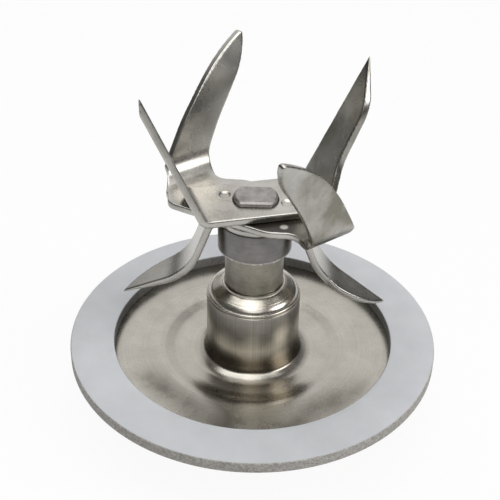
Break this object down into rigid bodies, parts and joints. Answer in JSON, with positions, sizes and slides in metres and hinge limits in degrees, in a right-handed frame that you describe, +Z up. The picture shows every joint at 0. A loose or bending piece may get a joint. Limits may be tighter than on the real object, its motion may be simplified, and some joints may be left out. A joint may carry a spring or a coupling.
{
  "type": "blender blade assembly",
  "caption": "Bladed agitator for a blender jar: stacked, bent steel blades on a bearing shaft in a pressed pan, with a ring gasket above and a square drive end below.",
  "frame": {"origin": "on the shaft axis, in the plane of the gasket's top face, where the jar seats", "axes": "+Z up along the shaft into the jar, +X to the right and +Y away from the viewer in the picture"},
  "size_m": [0.065, 0.065, 0.0629],
  "materials": {
    "gasket_rubber": "pale grey moulded rubber, matte, with a cut outer wall",
    "pan_steel": "pressed stainless sheet, worn polish with turned lines",
    "housing_steel": "turned steel, bright",
    "bush_iron": "sintered iron, matte grey",
    "felt": "oil-soaked wool felt",
    "washer_plastic": "moulded, matte",
    "ring_steel": "dark spring steel",
    "shaft_steel": "ground steel",
    "collar_steel": "turned steel, satin",
    "blade_steel": "stamped stainless sheet, tumbled, with wear marks"
  },
  "bodies": {
    "base": {"sealing_gasket": "gasket_rubber", "base_pan": "pan_steel", "bearing_housing": "housing_steel", "upper_bush": "bush_iron", "oil_felt": "felt", "lower_bush": "bush_iron", "seal_washer": "washer_plastic"},
    "rotor": {"drive_shaft": "shaft_steel", "collar": "collar_steel", "lower_blade": "blade_steel", "middle_blade": "blade_steel", "upper_blade": "blade_steel", "thrust_washer": "shaft_steel", "retaining_ring": "ring_steel"}
  },
  "joints": [
    {"name": "blade_spin", "type": "hinge", "parent": "base", "child": "rotor", "pos_m": [0, 0, 0], "axis": [0, 0, 1], "continuous": true}
  ]
}
